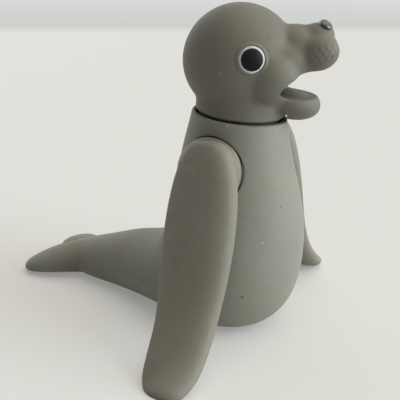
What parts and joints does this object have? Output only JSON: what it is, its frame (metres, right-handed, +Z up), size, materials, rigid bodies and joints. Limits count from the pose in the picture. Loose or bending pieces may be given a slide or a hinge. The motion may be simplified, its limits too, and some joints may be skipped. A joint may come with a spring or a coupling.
{
  "type": "seal figurine",
  "caption": "Hollow soft vinyl seal sitting upright on its belly, with a turning head and turning front flippers.",
  "frame": {"origin": "middle of the flat under the belly that the figurine sits on", "axes": "+Z up, +X the way the chest faces, +Y the seal's left side"},
  "size_m": [0.1236, 0.127, 0.1176],
  "materials": {
    "vinyl": "matt grey soft vinyl",
    "head_vinyl": "matt grey soft vinyl, with eyes and nose in gloss black paint",
    "flipper_vinyl": "matt grey soft vinyl"
  },
  "bodies": {
    "body": {"body": "vinyl"},
    "head": {"head": "head_vinyl"},
    "front_flipper_left": {"front_flipper_left": "flipper_vinyl"},
    "front_flipper_right": {"front_flipper_right": "flipper_vinyl"}
  },
  "joints": [
    {"name": "head_turn", "type": "hinge", "parent": "body", "child": "head", "pos_m": [0.006, 0, 0.0795], "axis": [0.0698, 0, 0.9976], "continuous": true},
    {"name": "flipper_swing_left", "type": "hinge", "parent": "body", "child": "front_flipper_left", "pos_m": [0.0048, 0.02, 0.0625], "axis": [0, -0.9781, -0.2079], "range_deg": [-60, 90]},
    {"name": "flipper_swing_right", "type": "hinge", "parent": "body", "child": "front_flipper_right", "pos_m": [0.0048, -0.02, 0.0625], "axis": [0, -0.9781, 0.2079], "range_deg": [-60, 90]}
  ]
}
